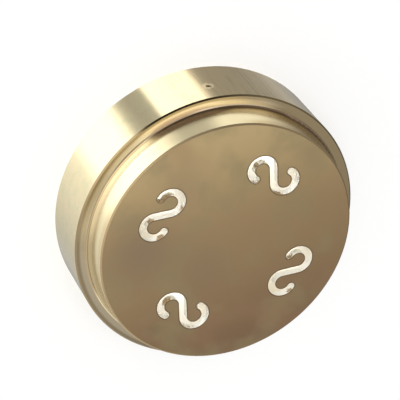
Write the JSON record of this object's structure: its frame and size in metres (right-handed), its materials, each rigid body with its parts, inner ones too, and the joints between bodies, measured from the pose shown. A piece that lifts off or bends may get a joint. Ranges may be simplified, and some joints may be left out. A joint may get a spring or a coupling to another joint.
{
  "type": "pasta extrusion die",
  "caption": "Stepped round brass die with S-shaped slots through its face and feed pockets behind, which shapes dough pressed through it into rolled pasta.",
  "frame": {"origin": "centre of the back face, which the die lies on", "axes": "+Z along the axis of the die, from the back face to the front face with the slots; +X through the middle of one slot"},
  "size_m": [0.057, 0.057, 0.019],
  "materials": {
    "brass": "satin turned face, polished sides"
  },
  "bodies": {
    "root": {"die_body": "brass"}
  },
  "joints": []
}
